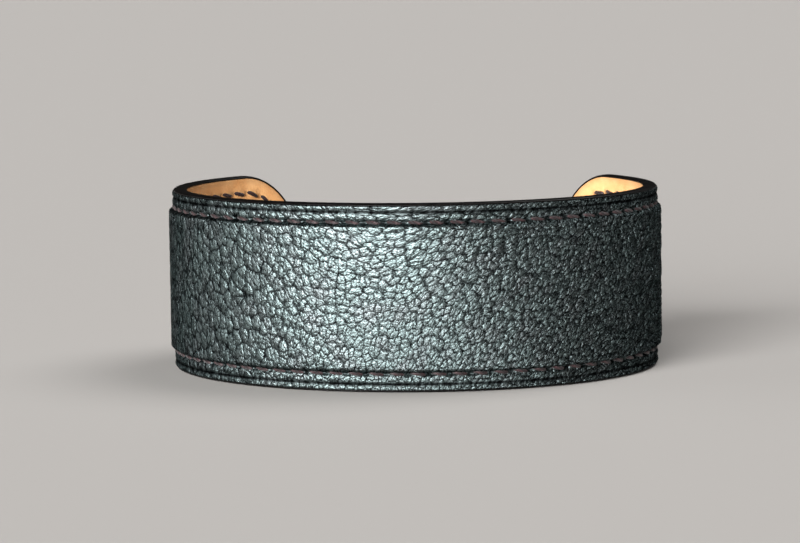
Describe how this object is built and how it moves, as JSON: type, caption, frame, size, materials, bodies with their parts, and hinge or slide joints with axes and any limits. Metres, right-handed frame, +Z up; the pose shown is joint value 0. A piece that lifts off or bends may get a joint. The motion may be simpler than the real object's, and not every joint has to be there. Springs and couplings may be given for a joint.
{
  "type": "leather cuff bracelet",
  "caption": "Open oval cuff of leather with rounded ends: a grained, raised cover on a plain lining, with a creased and sewn margin and a bead of edge paint.",
  "frame": {"origin": "on the surface that the cuff stands on, under the middle of its bounding box", "axes": "+Z up along the wrist's axis, across the band's height, +X across the wrist's width, and the opening between the ends faces +Y"},
  "size_m": [0.066, 0.0504, 0.024],
  "materials": {
    "grained_leather": "pebbled grain with a pearly metallic finish, dark in the creases",
    "lining_leather": "smooth natural tan, nearly matt",
    "edge_paint": "black, domed, half gloss",
    "thread": "waxed plum thread, saddle stitched"
  },
  "bodies": {
    "root": {"leather_cover": "grained_leather", "leather_lining": "lining_leather", "edge_paint": "edge_paint"}
  },
  "joints": []
}
